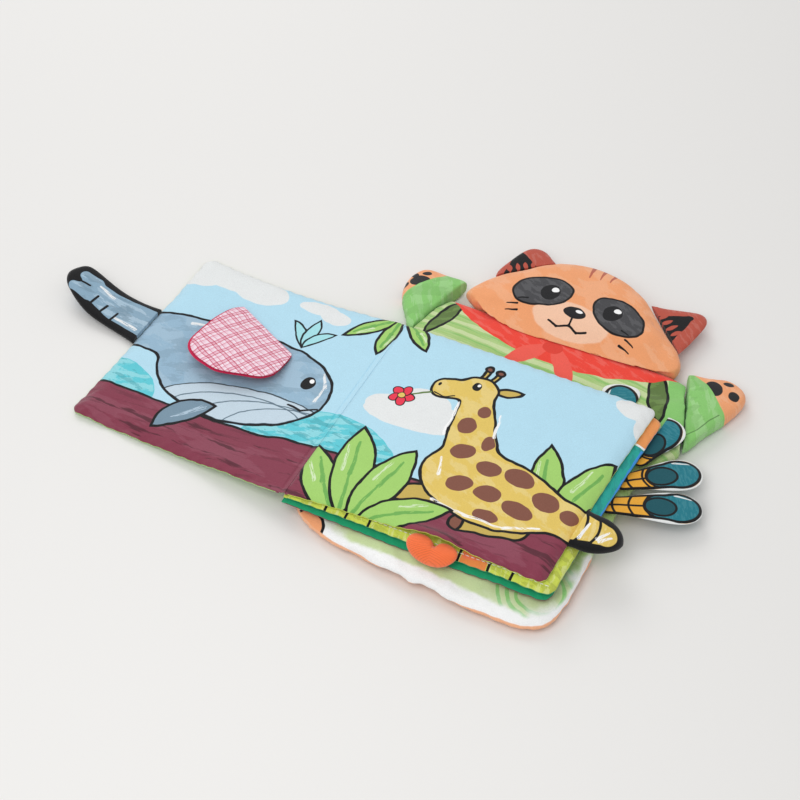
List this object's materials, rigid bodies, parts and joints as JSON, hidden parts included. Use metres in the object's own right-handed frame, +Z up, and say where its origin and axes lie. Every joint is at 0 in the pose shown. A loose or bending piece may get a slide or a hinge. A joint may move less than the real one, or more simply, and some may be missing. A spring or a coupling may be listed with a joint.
{
  "type": "crinkle cloth book",
  "caption": "Soft cloth book for babies: padded printed leaves with sewn-on tabs and a lift-up check flap, bound to a flat stuffed animal-shaped pad with head, ears and paws.",
  "frame": {"origin": "on the table under the middle of the pages, on the pad's flat underside", "axes": "+X across the pages from the spine to their free edges, +Y up the pages towards the pad's head, +Z up from the table"},
  "size_m": [0.4509, 0.2889, 0.0314],
  "materials": {
    "page_sky": "printed brushed polyester",
    "page_light_green": "printed brushed polyester",
    "page_lime": "printed brushed polyester",
    "page_emerald": "printed brushed polyester",
    "page_maroon": "printed brushed polyester",
    "crinkle_film": "thin crackling film",
    "wadding": "loose fibre",
    "binding_green": "brushed polyester",
    "shirt_stripes": "printed brushed polyester",
    "sleeve_green": "printed brushed polyester",
    "head_orange": "printed brushed polyester",
    "ear_rust": "printed brushed polyester",
    "side_tab_print": "printed brushed polyester",
    "check_cloth": "printed check cotton",
    "crimson_lining": "plain cloth",
    "banded_print": "printed brushed polyester",
    "feather_print": "printed brushed polyester",
    "coral_knit": "rib knit"
  },
  "bodies": {
    "plush": {"plush_body": "shirt_stripes", "spine_binding": "binding_green"},
    "head": {"plush_head": "head_orange"},
    "left_ear": {"plush_left_ear": "ear_rust"},
    "right_ear": {"plush_right_ear": "ear_rust"},
    "left_arm": {"plush_left_arm": "sleeve_green"},
    "right_arm": {"plush_right_arm": "sleeve_green"},
    "left_leaf": {"left_leaf_front_cloth": "page_sky", "left_leaf_crinkle_film": "crinkle_film", "left_leaf_wadding": "wadding", "left_leaf_back_cloth": "page_light_green"},
    "bottom_leaf": {"bottom_leaf_front_cloth": "page_emerald", "bottom_leaf_crinkle_film": "crinkle_film", "bottom_leaf_wadding": "wadding", "bottom_leaf_back_cloth": "page_maroon"},
    "middle_leaf": {"middle_leaf_front_cloth": "page_lime", "middle_leaf_crinkle_film": "crinkle_film", "middle_leaf_wadding": "wadding", "middle_leaf_back_cloth": "page_emerald"},
    "top_leaf": {"top_leaf_front_cloth": "page_sky", "top_leaf_crinkle_film": "crinkle_film", "top_leaf_wadding": "wadding", "top_leaf_back_cloth": "page_lime"},
    "side_tab": {"side_tab": "side_tab_print"},
    "check_flap": {"check_flap_cloth": "check_cloth", "check_flap_lining": "crimson_lining"},
    "banded_tab": {"banded_tab": "banded_print"},
    "feather_1": {"feather_tab_1": "feather_print"},
    "feather_2": {"feather_tab_2": "feather_print"},
    "feather_3": {"feather_tab_3": "feather_print"},
    "feather_4": {"feather_tab_4": "feather_print"},
    "knit_tab": {"knit_tab": "coral_knit"}
  },
  "joints": [
    {"name": "left_leaf_turn", "type": "hinge", "parent": "plush", "child": "left_leaf", "pos_m": [-0.0875, 0, 0.0174], "axis": [0, -1, 0], "range_deg": [-170, 0]},
    {"name": "bottom_leaf_turn", "type": "hinge", "parent": "plush", "child": "bottom_leaf", "pos_m": [-0.0875, 0, 0.01305], "axis": [0, -1, 0], "range_deg": [0, 25]},
    {"name": "middle_leaf_turn", "type": "hinge", "parent": "bottom_leaf", "child": "middle_leaf", "pos_m": [-0.0875, 0, 0.01485], "axis": [0, -1, 0], "range_deg": [0, 25]},
    {"name": "top_leaf_turn", "type": "hinge", "parent": "middle_leaf", "child": "top_leaf", "pos_m": [-0.0875, 0, 0.0174], "axis": [0, -1, 0], "range_deg": [0, 110]},
    {"name": "head_lift", "type": "hinge", "parent": "plush", "child": "head", "pos_m": [0, 0.1078, 0.0127], "axis": [1, 0, 0], "range_deg": [0, 45]},
    {"name": "left_ear_fold", "type": "hinge", "parent": "head", "child": "left_ear", "pos_m": [-0.04315, 0.16474, 0.01175], "axis": [0.735, 0.678, 0], "range_deg": [0, 70]},
    {"name": "right_ear_fold", "type": "hinge", "parent": "head", "child": "right_ear", "pos_m": [0.06067, 0.15718, 0.01175], "axis": [0.7061, -0.7081, 0], "range_deg": [0, 70]},
    {"name": "left_arm_lift", "type": "hinge", "parent": "plush", "child": "left_arm", "pos_m": [-0.07971, 0.10503, 0.0127], "axis": [0.2362, 0.9717, 0], "range_deg": [0, 45]},
    {"name": "right_arm_lift", "type": "hinge", "parent": "plush", "child": "right_arm", "pos_m": [0.09905, 0.09902, 0.0127], "axis": [0.3301, -0.944, 0], "range_deg": [0, 45]},
    {"name": "side_tab_lift", "type": "hinge", "parent": "left_leaf", "child": "side_tab", "pos_m": [-0.24299, 0.01166, 0.00615], "axis": [0.0348, 0.9994, 0], "range_deg": [0, 60]},
    {"name": "check_flap_lift", "type": "hinge", "parent": "left_leaf", "child": "check_flap", "pos_m": [-0.17045, 0.03919, 0.00887], "axis": [-0.8896, 0.4525, -0.0614], "range_deg": [0, 160]},
    {"name": "banded_tab_lift", "type": "hinge", "parent": "top_leaf", "child": "banded_tab", "pos_m": [0.08261, -0.03157, 0.03003], "axis": [-0.0322, -0.9995, 0], "range_deg": [0, 60]},
    {"name": "feather_1_lift", "type": "hinge", "parent": "bottom_leaf", "child": "feather_1", "pos_m": [0.0652, 0.07283, 0.0162], "axis": [1, 0, 0], "range_deg": [0, 60]},
    {"name": "feather_2_lift", "type": "hinge", "parent": "bottom_leaf", "child": "feather_2", "pos_m": [0.09111, 0.04343, 0.01636], "axis": [-0.0639, -0.998, 0], "range_deg": [0, 60]},
    {"name": "feather_3_lift", "type": "hinge", "parent": "bottom_leaf", "child": "feather_3", "pos_m": [0.08982, 0.02187, 0.01636], "axis": [-0.0552, -0.9985, 0], "range_deg": [0, 60]},
    {"name": "feather_4_lift", "type": "hinge", "parent": "bottom_leaf", "child": "feather_4", "pos_m": [0.08876, 0.00108, 0.01636], "axis": [-0.0468, -0.9989, 0], "range_deg": [0, 60]},
    {"name": "knit_tab_lift", "type": "hinge", "parent": "middle_leaf", "child": "knit_tab", "pos_m": [0.01244, -0.07627, 0.02188], "axis": [-1, 0, 0], "range_deg": [0, 25]}
  ]
}
